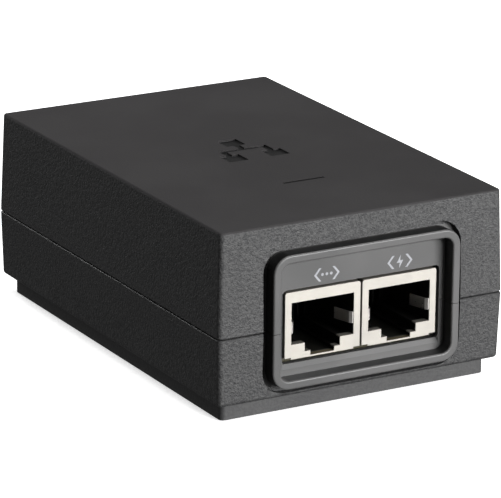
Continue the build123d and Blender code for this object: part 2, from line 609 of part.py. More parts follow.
def make_inlet_body():
    outer = Pos(0, INLET_Z) * RectangleRounded(INLET_WIDTH, INLET_HEIGHT, 2.0)
    body = slab(outer, BACK_Y - INLET_DEPTH, BACK_Y)
    body = fillet(body.faces().sort_by(Axis.Y)[-1].edges(), 0.4)
    flange = Pos(0, INLET_Z) * RectangleRounded(INLET_WIDTH + 2.4, INLET_HEIGHT + 0.1, 1.0)
    body += slab(flange, BACK_Y - WALL - 2.0, BACK_Y - WALL - 0.7)
    body -= slab(inlet_profile(CAVITY_WIDTH, CAVITY_HEIGHT, CAVITY_CHAMFER), BACK_Y - CAVITY_DEPTH, BACK_Y + 1)
    for x, z in inlet_pin_places():
        hole = Pos(x, z) * Rectangle(PIN_THICKNESS + 0.04, PIN_HEIGHT + 0.04)
        body -= slab(hole, BACK_Y - INLET_DEPTH - 1, BACK_Y - CAVITY_DEPTH + 1)
    return body


def inlet_pin_places():
    low = INLET_Z - PIN_OFFSET
    high = INLET_Z + PIN_OFFSET
    return [(-PIN_PITCH / 2, low), (0, high), (PIN_PITCH / 2, low)]


def make_inlet_pins():
    """Three flat pins with cut-back tips, each bent down behind the body to the board."""
    pins = []
    back = BACK_Y - INLET_DEPTH - PIN_REACH
    for x, z in inlet_pin_places():
        sketch = Pos(x, z) * Rectangle(PIN_THICKNESS, PIN_HEIGHT)
        pin = slab(sketch, back, BACK_Y - PIN_RECESS)
        pin = chamfer(pin.faces().sort_by(Axis.Y)[-1].edges(), 0.6)
        half = PIN_THICKNESS / 2
        pin += block(x - half, x + half, back, back + PIN_TAIL, LEG_END, z)
        pins.append(pin)
    return Compound(children=pins)


# ================================================================ power circuit
def standing(place, size, lift=STANDOFF, radius=0.3):
    """Block with rounded edges, centred on a place on the board and lifted clear of it."""
    x, y = place
    width, depth, height = size
    bottom = BOARD_TOP + lift
    body = block(x - width / 2, x + width / 2, y - depth / 2, y + depth / 2, bottom, bottom + height)
    return fillet(body.edges(), radius)


def legged(body, places, top, radius=0.3):
    """Add wire legs from a component down through the board."""
    for x, y in places:
        body += post(x, y, radius, LEG_END, top)
    return body


def leg_row(place, pitch, count, along_x=True):
    """Places of legs in a row, centred on a place."""
    x, y = place
    steps = [(index - (count - 1) / 2) * pitch for index in range(count)]
    return [(x + step, y) if along_x else (x, y + step) for step in steps]


def can_capacitor(place, radius, height):
    """Upright can with a rounded rim, a vent line across its top and two legs."""
    x, y = place
    top = BOARD_TOP + height
    body = fillet(post(x, y, radius, BOARD_TOP + STANDOFF, top).edges(), CAN_EDGE)
    vent = VENT_WIDTH / 2
    body -= block(x - radius, x + radius, y - vent, y + vent, top - VENT_WIDTH, top + 1)
    return legged(body, leg_row(place, radius * 2 / 3, 2), LEG_TOP)


def coated_disc(place, lift, radius):
    """Coated disc standing on edge, flat faces along X."""
    x, y = place
    z = BOARD_TOP + lift
    body = Pos(x, y, z) * Rot(0, 90, 0) * Cylinder(radius, DISC_THICKNESS)
    body = fillet(body.edges(), DISC_THICKNESS * 0.3)
    return legged(body, leg_row(place, radius, 2, along_x=False), z - radius / 2)


def make_fuse():
    return legged(standing(FUSE_PLACE, FUSE_SIZE, radius=0.4), leg_row(FUSE_PLACE, FUSE_PITCH, 2), LEG_TOP)


def make_varistor():
    return coated_disc(VARISTOR_PLACE, VARISTOR_LIFT, VARISTOR_RADIUS)


def make_y_capacitor():
    return coated_disc(Y_CAPACITOR_PLACE, Y_CAPACITOR_LIFT, Y_CAPACITOR_RADIUS)


def make_x_capacitor():
    body = standing(X_CAPACITOR_PLACE, X_CAPACITOR_SIZE, radius=0.4)
    return legged(body, leg_row(X_CAPACITOR_PLACE, X_CAPACITOR_PITCH, 2), LEG_TOP)


def make_choke_core():
    """Closed ferrite frame of the mains filter choke."""
    x, y = CHOKE_PLACE
    width, depth, height = CHOKE_SIZE
    bottom = BOARD_TOP + CHOKE_LIFT
    window = width / 2 - CHOKE_LIMB
    core = standing(CHOKE_PLACE, CHOKE_SIZE, CHOKE_LIFT)
    return core - block(x - window, x + window, y - depth, y + depth,
                        bottom + CHOKE_YOKE, bottom + height - CHOKE_YOKE)


def make_choke_windings():
    """Two coils, one round each upright limb of the core."""
    coils = []
    width, depth, height = CHOKE_SIZE
    end_gap = 0.4
    low = BOARD_TOP + CHOKE_LIFT + CHOKE_YOKE + end_gap
    tall = height - 2 * (CHOKE_YOKE + end_gap)
    limb = Rectangle(CHOKE_LIMB + 2 * STANDOFF, depth + 2 * STANDOFF)
    for side in (-1, 1):
        place = (CHOKE_PLACE[0] + side * (width - CHOKE_LIMB) / 2, CHOKE_PLACE[1])
        outline = Pos(*place) * (RectangleRounded(*CHOKE_COIL, CHOKE_COIL_RADIUS) - limb)
        coil = extrude(Pos(0, 0, low) * outline, amount=tall)
        coils.append(legged(coil, leg_row(place, CHOKE_LEG_PITCH, 2, along_x=False), low + 0.6))
    return Compound(children=coils)


def make_bridge_rectifier():
    body = standing(BRIDGE_PLACE, BRIDGE_SIZE, BRIDGE_LIFT, 0.4)
    return legged(body, leg_row(BRIDGE_PLACE, BRIDGE_PITCH, 4, along_x=False), BOARD_TOP + BRIDGE_LIFT + 1)


def make_bulk_capacitor():
    return can_capacitor(BULK_PLACE, BULK_RADIUS, BULK_HEIGHT)


def make_output_capacitors():
    return Compound(children=[can_capacitor(place, OUTPUT_RADIUS, OUTPUT_HEIGHT) for place in OUTPUT_PLACES])


def make_output_inductor():
    """Drum core with its winding between two flanges."""
    x, y = INDUCTOR_PLACE
    low = BOARD_TOP + STANDOFF
    top = BOARD_TOP + INDUCTOR_HEIGHT
    body = post(x, y, INDUCTOR_RADIUS, low, low + DRUM_FLANGE)
    body += post(x, y, INDUCTOR_RADIUS - DRUM_STEP, low + DRUM_FLANGE / 2, top - DRUM_FLANGE / 2)
    body += post(x, y, INDUCTOR_RADIUS, top - DRUM_FLANGE, top)
    return legged(body, leg_row(INDUCTOR_PLACE, INDUCTOR_PITCH, 2), LEG_TOP)


def make_transformer_core():
    """Ferrite frame with a middle limb."""
    y = TRANSFORMER_PLACE[1]
    width, depth, height = TRANSFORMER_SIZE
    bottom = BOARD_TOP + TRANSFORMER_LIFT
    core = standing(TRANSFORMER_PLACE, TRANSFORMER_SIZE, TRANSFORMER_LIFT)
    for side in (-1, 1):
        x0, x1 = sorted((side * TRANSFORMER_LIMB / 2, side * (width / 2 - TRANSFORMER_SIDE)))
        core -= block(x0, x1, y - depth, y + depth,
                      bottom + TRANSFORMER_YOKE, bottom + height - TRANSFORMER_YOKE)
    return core


def bobbin_levels():
    """Underside of the bobbin's lower flange and top of its upper one."""
    bottom = BOARD_TOP + TRANSFORMER_LIFT + TRANSFORMER_YOKE
    top = BOARD_TOP + TRANSFORMER_LIFT + TRANSFORMER_SIZE[2] - TRANSFORMER_YOKE
    return bottom + 2 * STANDOFF, top - 2 * STANDOFF


def make_transformer_bobbin():
    """Bobbin round the middle limb: a tube, two flanges and a row of pins on each side."""
    x, y = TRANSFORMER_PLACE
    low, high = bobbin_levels()
    bore = (TRANSFORMER_LIMB + 0.3, TRANSFORMER_SIZE[1] + 0.3)
    window = Pos(x, y) * Rectangle(*bore)
    tube_size = [side + 2 * BOBBIN_WALL for side in bore]
    tube = extrude(Pos(0, 0, low) * (Pos(x, y) * Rectangle(*tube_size) - window), amount=high - low)
    flange = Pos(x, y) * RectangleRounded(*BOBBIN_FLANGE, BOBBIN_WALL) - window
    for z in (low, high - BOBBIN_WALL):
        tube += extrude(Pos(0, 0, z) * flange, amount=BOBBIN_WALL)
    for side in (-1, 1):
        y0, y1 = sorted((y + side * BOBBIN_RAIL[0], y + side * BOBBIN_RAIL[1]))
        tube += block(x - BOBBIN_RAIL_HALF, x + BOBBIN_RAIL_HALF, y0, y1, BOARD_TOP + 0.6, low + 0.3)
        pin_y = y + side * (BOBBIN_RAIL[1] - 1.2)
        tube = legged(tube, leg_row((x, pin_y), BOBBIN_PIN_PITCH, 3), LEG_TOP)
    return tube


def make_transformer_winding():
    """Taped coil on the bobbin."""
    low, high = bobbin_levels()
    hole = Rectangle(TRANSFORMER_LIMB + 2.0, TRANSFORMER_SIZE[1] + 2.0)
    outline = Pos(*TRANSFORMER_PLACE) * (RectangleRounded(*WINDING_SIZE, WINDING_RADIUS) - hole)
    start = low + BOBBIN_WALL + STANDOFF
    return extrude(Pos(0, 0, start) * outline, amount=high - BOBBIN_WALL - STANDOFF - start)


def outward(x, near, far):
    """Two places near and far from x on the side away from the middle, lowest first."""
    away = 1 if x > 0 else -1
    return sorted((x + away * near, x + away * far))


def heatsink(x, y0, y1):
    """Upright aluminium plate with an outward top flange and two board pegs."""
    x0, x1 = outward(x, 0, HEATSINK_SHEET)
    top = BOARD_TOP + HEATSINK_HEIGHT
    plate = block(x0, x1, y0, y1, BOARD_TOP + STANDOFF, top)
    plate += block(*outward(x, 0, HEATSINK_FLANGE), y0, y1, top - HEATSINK_SHEET, top)
    for y in (y0 + HEATSINK_PEG_INSET, y1 - HEATSINK_PEG_INSET):
        plate += block(x0, x1, y - HEATSINK_SHEET / 2, y + HEATSINK_SHEET / 2, LEG_END, LEG_TOP)
    return plate


def power_device(x, y):
    """Flat-pack transistor or diode against its plate: moulded body, drilled metal tab and three legs."""
    half = DEVICE_WIDTH / 2
    body_low, body_top, tab_top = (BOARD_TOP + level for level in DEVICE_LEVELS)
    body = block(*outward(x, 0.05, DEVICE_DEPTH), y - half, y + half, body_low, body_top)
    body += block(*outward(x, 0.05, DEVICE_TAB), y - half, y + half, body_top - 0.6, tab_top)
    body -= Pos(x, y, tab_top - 2.0) * Rot(0, 90, 0) * Cylinder(DEVICE_HOLE, 2 * DEVICE_DEPTH)
    leg_x = sum(outward(x, DEVICE_LEGS, DEVICE_LEGS)) / 2
    return legged(body, leg_row((leg_x, y), DEVICE_PITCH, 3, along_x=False), body_low + 0.5, 0.4)


def make_optocoupler():
    body = standing(OPTO_PLACE, OPTO_SIZE, OPTO_LIFT)
    for side in (-1, 1):
        row = (OPTO_PLACE[0] + side * OPTO_SPAN / 2, OPTO_PLACE[1])
        body = legged(body, leg_row(row, OPTO_PITCH, 2, along_x=False), LEG_TOP, 0.25)
    return body


def make_controller_chip():
    """Small surface-mounted package with four flat leads on each side."""
    x, y = CHIP_PLACE
    body = standing(CHIP_PLACE, CHIP_SIZE, radius=0.2)
    for side in (-1, 1):
        x0, x1 = sorted((x + side * (CHIP_SIZE[0] / 2 - 0.2), x + side * (CHIP_SIZE[0] / 2 + 1.0)))
        for _, lead_y in leg_row((x, y), CHIP_PITCH, 4, along_x=False):
            body += block(x0, x1, lead_y - CHIP_LEAD / 2, lead_y + CHIP_LEAD / 2,
                          BOARD_TOP, BOARD_TOP + CHIP_LEAD)
    return body


def make_lan_magnetics():
    """Two network transformer modules behind the jacks."""
    return Compound(children=[standing((side * MAGNETICS_PLACE[0], MAGNETICS_PLACE[1]), MAGNETICS_SIZE)
                              for side in (-1, 1)])


# ================================================================ write every part
def main():
    os.makedirs("parts", exist_ok=True)
    case = {
        "upper_case": make_upper_case(),
        "lower_case": make_lower_case(),
        "case_screws": make_case_screws(),
        "wall_bracket": make_wall_bracket(),
        "top_emblem": make_top_emblem(),
        "led_light_pipe": make_led_light_pipe(),
        "insulation_sheet": make_insulation_sheet(),
        "inlet_body": make_inlet_body(),
    }
    sprung = {}
    circuit = {
        "status_led": make_status_led(),
        "inlet_pins": make_inlet_pins(),
        "fuse": make_fuse(),
        "varistor": make_varistor(),
        "x_capacitor": make_x_capacitor(),
        "y_capacitor": make_y_capacitor(),
        "choke_core": make_choke_core(),
        "choke_windings": make_choke_windings(),
        "bridge_rectifier": make_bridge_rectifier(),
        "bulk_capacitor": make_bulk_capacitor(),
        "output_capacitors": make_output_capacitors(),
        "output_inductor": make_output_inductor(),
        "transformer_core": make_transformer_core(),
        "transformer_bobbin": make_transformer_bobbin(),
        "transformer_winding": make_transformer_winding(),
        "switch_heatsink": heatsink(HEATSINK_X, -8.0, 6.0),
        "switch_transistor": power_device(HEATSINK_X + HEATSINK_SHEET, -1.0),
        "output_heatsink": heatsink(OUTPUT_HEATSINK_X, -2.5, 9.0),
        "output_diode": power_device(OUTPUT_HEATSINK_X - HEATSINK_SHEET, 3.6),
        "optocoupler": make_optocoupler(),
        "controller_chip": make_controller_chip(),
        "lan_magnetics": make_lan_magnetics(),
    }
    for port, x in (("lan", -JACK_X), ("poe", JACK_X)):
        circuit[f"{port}_jack_shield"] = make_jack_shield(x)
        circuit[f"{port}_jack_housing"] = make_jack_housing(x)
        circuit[f"{port}_contact_block"] = make_contact_block(x)
        sprung[f"{port}_contact_wires"] = make_contact_wires(x)
        sprung[f"{port}_ground_spring_left"] = make_ground_spring(x, -1)
        sprung[f"{port}_ground_spring_right"] = make_ground_spring(x, 1)
    board = make_main_board(circuit.values())
    for name, shape in {**case, **circuit, **sprung, "main_board": board}.items():
        export_step(shape, f"parts/{name}.step")


main()
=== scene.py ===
"""Looks of the power-over-Ethernet injector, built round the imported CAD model.

Everything is in metres in the model's own frame: +Z up, the network jacks towards -Y, the mains inlet
towards +Y. Places are read from the CAD nodes.
"""
import json
import math

import bmesh
import bpy
from mathutils import Matrix, Vector


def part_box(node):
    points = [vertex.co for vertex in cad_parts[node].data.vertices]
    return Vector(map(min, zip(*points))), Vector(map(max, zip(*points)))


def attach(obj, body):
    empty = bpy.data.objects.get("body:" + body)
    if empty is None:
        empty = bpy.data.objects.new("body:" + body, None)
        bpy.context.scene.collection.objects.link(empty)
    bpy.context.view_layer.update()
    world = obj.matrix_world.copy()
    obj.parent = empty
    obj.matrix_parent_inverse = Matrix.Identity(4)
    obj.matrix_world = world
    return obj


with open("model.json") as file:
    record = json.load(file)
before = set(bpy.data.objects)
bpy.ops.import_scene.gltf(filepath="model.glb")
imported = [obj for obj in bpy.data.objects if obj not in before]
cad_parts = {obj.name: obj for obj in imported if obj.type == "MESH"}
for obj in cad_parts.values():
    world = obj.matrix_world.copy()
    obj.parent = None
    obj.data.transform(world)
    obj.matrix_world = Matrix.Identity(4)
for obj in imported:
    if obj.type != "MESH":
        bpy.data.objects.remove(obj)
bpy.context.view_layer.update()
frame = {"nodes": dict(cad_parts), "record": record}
NODES = frame["nodes"]
MM = 0.001

# ---------------------------------------------------------------- places read from the CAD
CASE_LOW, CASE_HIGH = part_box("upper_case")
BOARD_CUT = 0.25 * MM                    # skin of bare laminate shown at the board's edges, darkened there as painted shade
RIM_FRONT = CASE_LOW.y
RIM_PROUD = 1.5 * MM
FACE_Y = RIM_FRONT + RIM_PROUD
PANEL_SUNK = 1.3 * MM                    # from the end face back to the label panel
PANEL_Y = FACE_Y + PANEL_SUNK
TOP_Z = CASE_HIGH.z
BEYOND = 1.0                             # metres, outside the model: a mask ends nowhere on that side

# Satin skin of the port end, and painted shade on the walls between its rim and the label panel.
PORT_HALF_WIDTH = 18.02 * MM
PORT_BOTTOM, PORT_TOP = 4.83 * MM, 28.17 * MM
PORT_PAST_PANEL = 0.6 * MM
PORT_LOW = Vector((-PORT_HALF_WIDTH, RIM_FRONT - MM, PORT_BOTTOM))
PORT_HIGH = Vector((PORT_HALF_WIDTH, PANEL_Y + PORT_PAST_PANEL, PORT_TOP))
WALL_BEHIND_RIM, WALL_BEFORE_PANEL = 0.35 * MM, 0.12 * MM
SHADED_WALL_LOW = Vector((PORT_LOW.x, RIM_FRONT + WALL_BEHIND_RIM, PORT_LOW.z))
SHADED_WALL_HIGH = Vector((PORT_HIGH.x, PANEL_Y - WALL_BEFORE_PANEL, PORT_HIGH.z))

# Depths behind the front of the jacks at which their shields change from bright to painted shade: grey past
# the lip, tan along the sill, near-black deeper in.
SHIELD_SHEET = 0.35 * MM                 # the shield stands this far out from its insulator
LIP_DEPTH, SILL_DEPTH, DEEP_DEPTH = 0.27 * MM, 1.1 * MM, 1.3 * MM
SILL_HEIGHT = 0.3 * MM
HOUSING_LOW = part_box("lan_jack_housing")[0]
JACK_FRONT = HOUSING_LOW.y - SHIELD_SHEET
JACK_BOTTOM = HOUSING_LOW.z - SHIELD_SHEET
LIP_SHADE_LOW = Vector((-BEYOND, JACK_FRONT + LIP_DEPTH, 0))
DEEP_SHADE_LOW = Vector((-BEYOND, JACK_FRONT + DEEP_DEPTH, 0))
JACK_END = Vector((BEYOND, 0, BEYOND))
SILL_SHADE_LOW = Vector((-BEYOND, JACK_FRONT + LIP_DEPTH, JACK_BOTTOM))
SILL_SHADE_HIGH = Vector((BEYOND, JACK_FRONT + SILL_DEPTH, JACK_BOTTOM + SILL_HEIGHT))

BOARD_LOW, BOARD_HIGH = (Vector(corner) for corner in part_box("main_board"))
BOARD_LOW += Vector((BOARD_CUT, BOARD_CUT, -MM))
BOARD_HIGH -= Vector((BOARD_CUT, BOARD_CUT, -MM))

# ---------------------------------------------------------------- finishes
GRAIN_FINE = 0.28 * MM
GRAIN_COARSE = 0.55 * MM
GRAIN_DEPTH = 0.22 * MM
CASE_DARK, CASE_LIGHT = (0.018, 0.018, 0.019), (0.043, 0.043, 0.043)
CASE_ROUGHNESS = 0.55
CASE_SPECULAR, TOP_SPECULAR = 0.3, 0.05
TOP_ROUGHNESS = 0.85
TOP_DARK, TOP_LIGHT = (0.0275, 0.0262, 0.0268), (0.0325, 0.0312, 0.0318)
TOP_SMOOTHING = 0.85
PORT_DARK, PORT_LIGHT = (0.066, 0.066, 0.066), (0.077, 0.076, 0.076)
# painted shade on the port's inner walls
PORT_WALL_SHADE = (0.006, 0.006, 0.006)
PORT_ROUGHNESS = 0.38
BRACKET_DARK, BRACKET_LIGHT = (0.030, 0.030, 0.031), (0.046, 0.046, 0.046)
SHIELD_BRIGHT, SHIELD_DULL = (0.378, 0.360, 0.330), (0.350, 0.332, 0.300)
# painted shade inside the shields; the sill's tan is a painted reflection in that shade
SHIELD_LIP_SHADE, SHIELD_SILL_SHADE, SHIELD_DEEP_SHADE = (0.20, 0.19, 0.17), (0.17, 0.14, 0.085), (0.004, 0.004, 0.003)
SHIELD_ROUGHNESS = 0.42
SHIELD_METALLIC = 0.6
INK_FULL, INK_THIN = (0.25, 0.255, 0.27), (0.19, 0.195, 0.21)

# Noise scales are cells per metre; sizes in MM are the width of one cell.
PLASTIC_MOTTLE, CASE_MOTTLE = 60.0, 45.0
GLOSS_CLOUD, METAL_PATCH, BOARD_CLOUD = 180.0, 220.0, 120.0
FERRITE_CLOUD, WIRE_CLOUD, PAPER_FIBRE = 150.0, 200.0, 300.0
SCUFF_SIZE, STREAK_SIZE = 0.4 * MM, 0.25 * MM
SPECK_SIZE, FILM_FIBRE, INK_SPECK = 0.2 * MM, 0.5 * MM, 0.15 * MM
WEAVE_PITCH = 0.5 * MM
FINE_BUMP, CLOTH_BUMP, SPECK_BUMP = 0.01 * MM, 0.02 * MM, 0.03 * MM

# ---------------------------------------------------------------- port signs
SIGN_WIDTH = 4.9 * MM
SIGN_LOW, SIGN_HIGH = 21.8 * MM, 24.1 * MM
SIGN_MIDDLE = (SIGN_LOW + SIGN_HIGH) / 2
SIGN_REACH = 0.95 * MM
SIGN_STROKE = 0.34 * MM
SIGN_DOT = 0.26 * MM
SIGN_DOT_PITCH = 0.85 * MM
SIGN_BOLT = 1.25 * MM
INK_DEPTH = 0.02 * MM
LAN_SIGN_X, POE_SIGN_X = -6.4 * MM, 7.75 * MM
BOLT_STEP = 0.09                         # of the bolt's height
BOLT_LEAN, BOLT_WAIST = 0.2, 0.05        # of its half width


# ================================================================ camera
# Place, turn and lens were fitted to the object's own edges.
CAMERA_PLACE = Vector((-0.3303, -0.58048, 0.23184))
CAMERA_YAW = math.radians(29.713)       # from +Y towards +X
CAMERA_PITCH = math.radians(-17.968)
CAMERA_ROLL = math.radians(0.619)
CAMERA_LENS = 289.3
CAMERA_CLIP = (0.01, 20)


def make_camera():
    yaw, pitch, roll = CAMERA_YAW, CAMERA_PITCH, CAMERA_ROLL
    ahead = Vector((math.sin(yaw) * math.cos(pitch), math.cos(yaw) * math.cos(pitch), math.sin(pitch)))
    level = Vector((math.cos(yaw), -math.sin(yaw), 0))
    above = level.cross(ahead)
    right = math.cos(roll) * level + math.sin(roll) * above
    up = math.cos(roll) * above - math.sin(roll) * level
    data = bpy.data.cameras.new("camera")
    data.lens = CAMERA_LENS
    data.clip_start, data.clip_end = CAMERA_CLIP
    camera = bpy.data.objects.new("camera", data)
    turn = Matrix((right, up, -ahead)).transposed().to_4x4()
    camera.matrix_world = Matrix.Translation(CAMERA_PLACE) @ turn
    bpy.context.scene.collection.objects.link(camera)
    bpy.context.scene.camera = camera


# ================================================================ node helpers
class Shader:
    """A new material with its principled shader and short calls for adding and joining nodes."""

    def __init__(self, name):
        self.material = bpy.data.materials.new(name)
        self.material.use_nodes = True
        self.tree = self.material.node_tree
        self.main = self.tree.nodes["Principled BSDF"]

    def node(self, kind, **values):
        made = self.tree.nodes.new(kind)
        for key, value in values.items():
            setattr(made, key, value)
        return made

    def join(self, source, target):
        self.tree.links.new(source, target)

    def feed(self, name, source):
        """Join source to the named input of the principled shader."""
        self.join(source, self.main.inputs[name])

    def set(self, **values):
        for key, value in values.items():
            self.main.inputs[key.replace("_", " ")].default_value = value

    def place(self):
        """Place in the piece's own frame, so that a finish stays with a piece that moves."""
        return self.node("ShaderNodeTexCoord").outputs["Object"]

    def noise(self, scale, detail=4.0, rough=0.6, where=None):
        made = self.node("ShaderNodeTexNoise")
        made.inputs["Scale"].default_value = scale
        made.inputs["Detail"].default_value = detail
        made.inputs["Roughness"].default_value = rough
        self.join(where or self.place(), made.inputs["Vector"])
        return made.outputs["Fac"]

    def along(self, axis):
        made = self.node("ShaderNodeSeparateXYZ")
        self.join(self.place(), made.inputs["Vector"])
        return made.outputs[axis]

    def stretched(self, factors):
        """Place divided by factors, so that a texture runs long along the largest one."""
        made = self.node("ShaderNodeMapping")
        made.inputs["Scale"].default_value = [1 / factor for factor in factors]
        self.join(self.place(), made.inputs["Vector"])
        return made.outputs["Vector"]

    def bands(self, axis, pitch):
        """Smooth bands across one axis, one each pitch."""
        turns = self.math("MULTIPLY", self.along(axis), 2 * math.pi / pitch)
        wave = self.math("SINE", turns)
        return self.math("ADD", self.math("MULTIPLY", wave, 0.5), 0.5)

    def inside(self, low, high):
        """1 within the upright box from low to high, else 0."""
        found = 1.0
        for axis, start, end in zip("XYZ", low, high):
            place = self.along(axis)
            above = self.math("GREATER_THAN", place, start)
            below = self.math("LESS_THAN", place, end)
            found = self.math("MULTIPLY", found, self.math("MULTIPLY", above, below))
        return found

    def math(self, operation, first, second=0.5, clamp=False):
        made = self.node("ShaderNodeMath", operation=operation, use_clamp=clamp)
        for socket, value in zip(made.inputs, (first, second)):
            if isinstance(value, (int, float)):
                socket.default_value = value
            else:
                self.join(value, socket)
        return made.outputs[0]

    def average(self, first, second):
        return self.math("ADD", self.math("MULTIPLY", first, 0.5), self.math("MULTIPLY", second, 0.5))

    def ramp(self, source, low, high, out_low=0.0, out_high=1.0):
        made = self.node("ShaderNodeMapRange", interpolation_type="SMOOTHSTEP")
        for name, value in (("From Min", low), ("From Max", high), ("To Min", out_low), ("To Max", out_high)):
            made.inputs[name].default_value = value
        self.join(source, made.inputs["Value"])
        return made.outputs["Result"]

    def blend(self, factor, first, second):
        made = self.node("ShaderNodeMix", data_type="RGBA")
        self.join(factor, made.inputs["Factor"])
        for socket, value in ((made.inputs["A"], first), (made.inputs["B"], second)):
            if isinstance(value, tuple):
                socket.default_value = (*value, 1)
            else:
                self.join(value, socket)
        return made.outputs["Result"]

    def bump(self, height, strength, distance, before=None):
        made = self.node("ShaderNodeBump")
        made.inputs["Distance"].default_value = distance
        if isinstance(strength, (int, float)):
            made.inputs["Strength"].default_value = strength
        else:
            self.join(strength, made.inputs["Strength"])
        self.join(height, made.inputs["Height"])
        if before is not None:
            self.join(before, made.inputs["Normal"])
        return made.outputs["Normal"]


# ================================================================ materials
def moulded_plastic(colour, shade, grain, depth, roughness, specular=0.4):
    """Moulded plastic: spark grain, slow mottling of colour, and roughness that varies a little."""
    s = Shader("moulded_plastic")
    fine = s.noise(1 / grain, 3.0, 0.65)
    slow = s.noise(PLASTIC_MOTTLE, 3.0)
    tone = s.math("ADD", s.math("MULTIPLY", fine, 0.6), s.math("MULTIPLY", slow, 0.4))
    s.feed("Base Color", s.blend(s.ramp(tone, 0.35, 0.65), colour, shade))
    s.feed("Roughness", s.ramp(slow, 0.3, 0.7, roughness - 0.05, roughness + 0.05))
    s.feed("Normal", s.bump(fine, 1.0, depth))
    s.set(Specular_IOR_Level=specular)
    return s.material


def case_plastic():
    """Black case: spark grain on the sides, a finer and darker top, a smooth satin port end, and painted
    shade on the walls inside the port's rim.
    """
    s = Shader("case_plastic")
    fine = s.noise(1 / GRAIN_FINE, 2.0, 0.6)
    coarse = s.noise(1 / GRAIN_COARSE, 2.0, 0.5)
    slow = s.noise(CASE_MOTTLE, 3.0)
    grain = s.average(fine, coarse)
    top = s.ramp(s.along("Z"), TOP_Z - 0.5 * MM, TOP_Z - 0.1 * MM)
    port = s.inside(PORT_LOW, PORT_HIGH)
    smooth = s.math("MAXIMUM", s.math("MULTIPLY", top, TOP_SMOOTHING), port)
    rough_skin = s.blend(s.ramp(grain, 0.38, 0.62), CASE_DARK, CASE_LIGHT)
    fine_skin = s.blend(s.ramp(slow, 0.35, 0.65), TOP_DARK, TOP_LIGHT)
    satin_skin = s.blend(s.ramp(slow, 0.35, 0.65), PORT_DARK, PORT_LIGHT)
    skin = s.blend(port, s.blend(top, rough_skin, fine_skin), satin_skin)
    # painted shade: the walls between the port's rim and the label panel are painted near-black
    s.feed("Base Color", s.blend(s.inside(SHADED_WALL_LOW, SHADED_WALL_HIGH), skin, PORT_WALL_SHADE))
    matt = s.ramp(slow, 0.3, 0.7, CASE_ROUGHNESS - 0.04, CASE_ROUGHNESS + 0.04)
    eased = s.math("SUBTRACT", matt, s.math("MULTIPLY", port, CASE_ROUGHNESS - PORT_ROUGHNESS))
    flat = s.math("ADD", eased, s.math("MULTIPLY", top, TOP_ROUGHNESS - CASE_ROUGHNESS))
    s.feed("Roughness", flat)
    raised = s.math("SUBTRACT", 1.0, smooth)
    s.feed("Normal", s.bump(grain, raised, GRAIN_DEPTH, s.bump(fine, 0.35, FINE_BUMP)))
    s.feed("Specular IOR Level", s.ramp(top, 0.0, 1.0, CASE_SPECULAR, TOP_SPECULAR))
    return s.material


def gloss(colour, shade, roughness, coat=0.0, wavy=0.0, specular=0.5):
    """Polished or coated surface: faint cloudiness, hairline scuffs and an optional clear coat."""
    s = Shader("gloss")
    cloud = s.noise(GLOSS_CLOUD, 3.0)
    scuff = s.noise(1 / SCUFF_SIZE, 5.0, 0.7)
    s.feed("Base Color", s.blend(s.ramp(cloud, 0.35, 0.65), colour, shade))
    s.feed("Roughness", s.ramp(scuff, 0.4, 0.75, roughness, roughness + 0.12))
    if wavy:
        s.join(s.bump(cloud, 1.0, wavy), s.main.inputs["Normal"])
    s.set(Coat_Weight=coat, Coat_Roughness=roughness, Specular_IOR_Level=specular)
    return s.material


def metal_wear(s, stretch, roughness):
    """Streaked roughness and relief of sheet metal; gives back where the patches have dulled its colour."""
    streak = s.noise(1 / STREAK_SIZE, 4.0, 0.6, where=s.stretched(stretch))
    patch = s.noise(METAL_PATCH, 3.0)
    worn = s.average(streak, patch)
    s.feed("Roughness", s.ramp(worn, 0.3, 0.7, roughness - 0.06, roughness + 0.08))
    s.feed("Normal", s.bump(streak, 0.4, FINE_BUMP))
    return s.ramp(patch, 0.35, 0.7)


def plated_metal(colour, shade, roughness, stretch):
    """Rolled or drawn metal: fine streaks along the long axis of stretch, and dulled patches."""
    s = Shader("plated_metal")
    s.feed("Base Color", s.blend(metal_wear(s, stretch, roughness), colour, shade))
    s.set(Metallic=1.0)
    return s.material


def jack_shield():
    """Bright plated face; behind it, painted shade: grey past the lip, tan with a painted warm reflection
    along the sill of each notch, and a near-black, non-metallic sheet deeper in.
    """
    s = Shader("jack_shield")
    face = s.blend(metal_wear(s, (8, 1, 1), SHIELD_ROUGHNESS), SHIELD_BRIGHT, SHIELD_DULL)
    # painted shade on the sheet behind the lip, tan painted reflection along the notch sill, near-black
    # deeper in
    lip_shaded = s.blend(s.inside(LIP_SHADE_LOW, JACK_END), face, SHIELD_LIP_SHADE)
    sill_shaded = s.blend(s.inside(SILL_SHADE_LOW, SILL_SHADE_HIGH), lip_shaded, SHIELD_SILL_SHADE)
    deep_shade = s.inside(DEEP_SHADE_LOW, JACK_END)
    s.feed("Base Color", s.blend(deep_shade, sill_shaded, SHIELD_DEEP_SHADE))
    s.feed("Metallic", s.math("MULTIPLY", s.math("SUBTRACT", 1.0, deep_shade), SHIELD_METALLIC))
    return s.material


